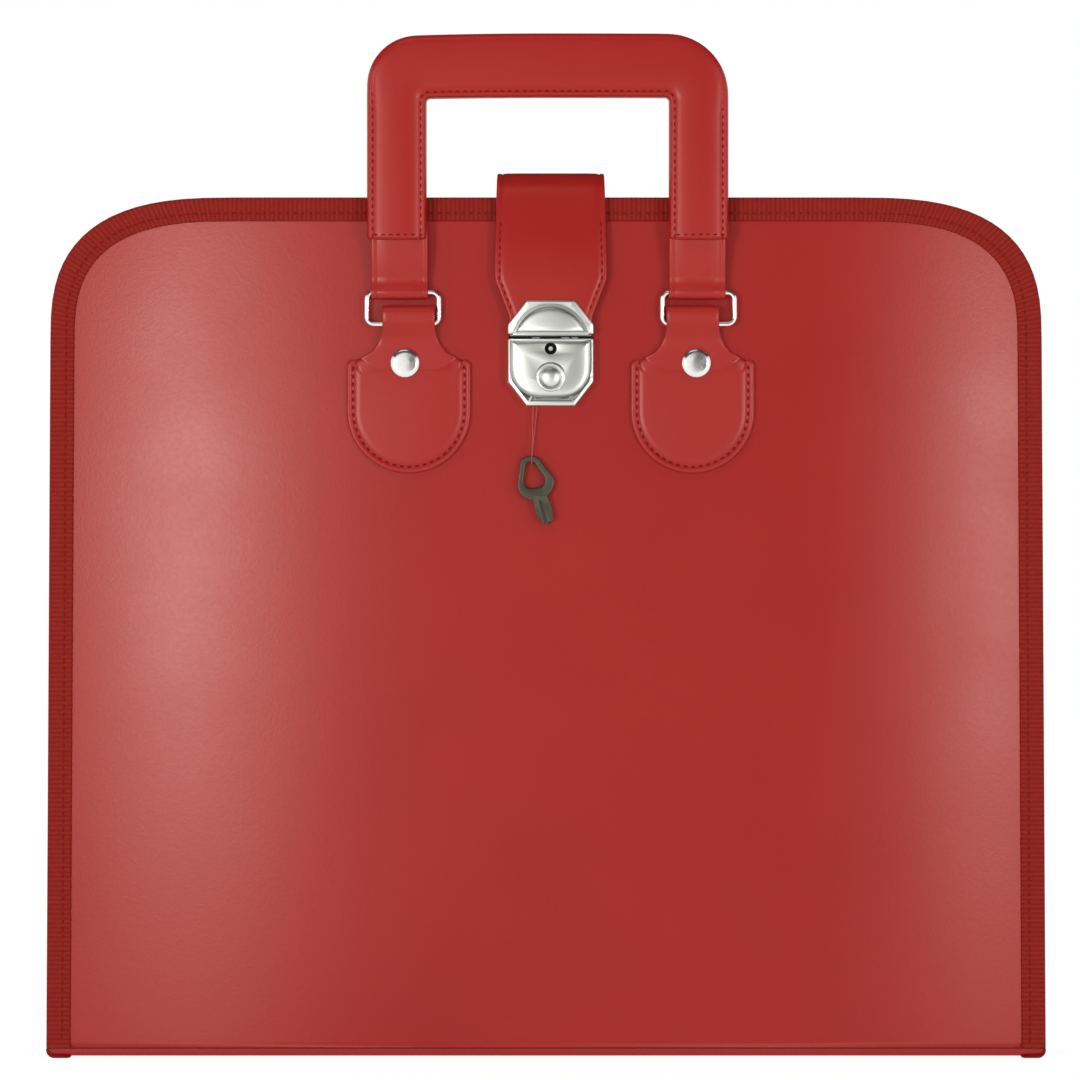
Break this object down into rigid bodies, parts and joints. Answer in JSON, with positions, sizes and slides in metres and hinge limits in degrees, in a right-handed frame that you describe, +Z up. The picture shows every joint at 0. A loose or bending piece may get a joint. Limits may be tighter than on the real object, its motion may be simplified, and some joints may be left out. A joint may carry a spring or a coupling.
{
  "type": "apron case",
  "caption": "Flat case of leatherette-covered boards with bound edges, gussets, a padded handle on rings and a strap that closes at a small key lock.",
  "frame": {"origin": "on the floor, under the middle of the whole object", "axes": "+Z up, -Y out of the front panel that carries the lock, +X to the right seen from the front"},
  "size_m": [0.431, 0.0632, 0.4409],
  "materials": {
    "leatherette": "smooth red leatherette with a satin gloss",
    "tape": "ribbed red woven binding tape",
    "lining": "plain dark red woven lining",
    "board": "grey book board",
    "nickel": "bright satin nickel plate",
    "steel": "plain zinc-plated steel",
    "dark_steel": "dark antique-plated steel",
    "core": "plain moulded core",
    "thread": "clear nylon thread"
  },
  "bodies": {
    "case": {"back_cover": "leatherette", "back_board": "board", "back_lining": "lining", "back_binding": "tape", "strap_anchor": "leatherette", "bottom_cover": "leatherette", "bottom_board": "board", "bottom_lining": "lining", "bottom_binding_left": "tape", "bottom_binding_right": "tape", "gusset_left": "leatherette", "gusset_right": "leatherette"},
    "front": {"front_cover": "leatherette", "front_board": "board", "front_lining": "lining", "front_binding": "tape", "tab_left": "leatherette", "tab_right": "leatherette", "tab_rivets": "nickel", "rivet_washers": "steel", "lock_base_plate": "nickel", "lock_case": "nickel", "lock_back_plate": "steel", "lock_rivets": "steel", "button_spring": "steel"},
    "ring_left": {"ring_left": "nickel"},
    "ring_right": {"ring_right": "nickel"},
    "handle": {"handle_cover": "leatherette", "handle_core": "core", "handle_end_left": "leatherette", "handle_end_right": "leatherette"},
    "strap_top": {"strap_top": "leatherette"},
    "strap_flap": {"strap_flap": "leatherette", "hasp_plate": "nickel", "hasp_back_plate": "steel", "hasp_rivets": "nickel"},
    "lock_cylinder": {"lock_cylinder": "dark_steel"},
    "lock_bolt": {"lock_bolt": "steel"},
    "push_button": {"push_button": "nickel"},
    "lock_catch": {"lock_catch": "steel"},
    "key": {"key": "dark_steel", "key_thread": "thread"}
  },
  "joints": [
    {"name": "front_open", "type": "hinge", "parent": "case", "child": "front", "pos_m": [0, -0.0182, 0.0042], "axis": [1, 0, 0], "range_deg": [0, 5.4], "deforming": ["gusset_left", "gusset_right"]},
    {"name": "strap_back", "type": "hinge", "parent": "case", "child": "strap_top", "pos_m": [0, 0.0316, 0.3722], "axis": [1, 0, 0], "range_deg": [-124.2, 0]},
    {"name": "strap_lift", "type": "hinge", "parent": "strap_top", "child": "strap_flap", "pos_m": [0, -0.024, 0.3722], "axis": [1, 0, 0], "range_deg": [-100, 0]},
    {"name": "ring_left_tilt", "type": "hinge", "parent": "front", "child": "ring_left", "pos_m": [0, -0.0218, 0.3163], "axis": [1, 0, 0], "range_deg": [0, 45]},
    {"name": "ring_right_tilt", "type": "hinge", "parent": "front", "child": "ring_right", "pos_m": [0, -0.0218, 0.3163], "axis": [1, 0, 0], "range_deg": [0, 45]},
    {"name": "handle_fold", "type": "hinge", "parent": "ring_left", "child": "handle", "pos_m": [0, -0.0218, 0.3299], "axis": [1, 0, 0], "range_deg": [0, 110]},
    {"name": "key_turn", "type": "hinge", "parent": "front", "child": "lock_cylinder", "pos_m": [0.002, -0.0212, 0.3056], "axis": [0, 1, 0], "range_deg": [0, 90]},
    {"name": "bolt_slide", "type": "slide", "parent": "front", "child": "lock_bolt", "axis": [0, 0, 1], "range_m": [0, 0.0035]},
    {"name": "button_press", "type": "slide", "parent": "front", "child": "push_button", "axis": [0, 1, 0], "range_m": [0, 0.0015], "stiffness_N_per_m": 300, "springref_m": -0.0005, "deforming": ["button_spring"]},
    {"name": "catch_slide", "type": "slide", "parent": "front", "child": "lock_catch", "axis": [0, 0, -1], "range_m": [0, 0.0015]},
    {"name": "key_swing", "type": "hinge", "parent": "front", "child": "key", "pos_m": [-0.00475, -0.0213, 0.2806], "axis": [0, 1, 0], "range_deg": [-15, 15]}
  ],
  "couplings": [
    {"joint": "strap_back", "follows": "front_open", "ratio": -23},
    {"joint": "ring_right_tilt", "follows": "ring_left_tilt", "ratio": 1},
    {"joint": "key_turn", "follows": "bolt_slide", "rad_per_m": 448.8},
    {"joint": "catch_slide", "follows": "button_press", "ratio": 1}
  ]
}
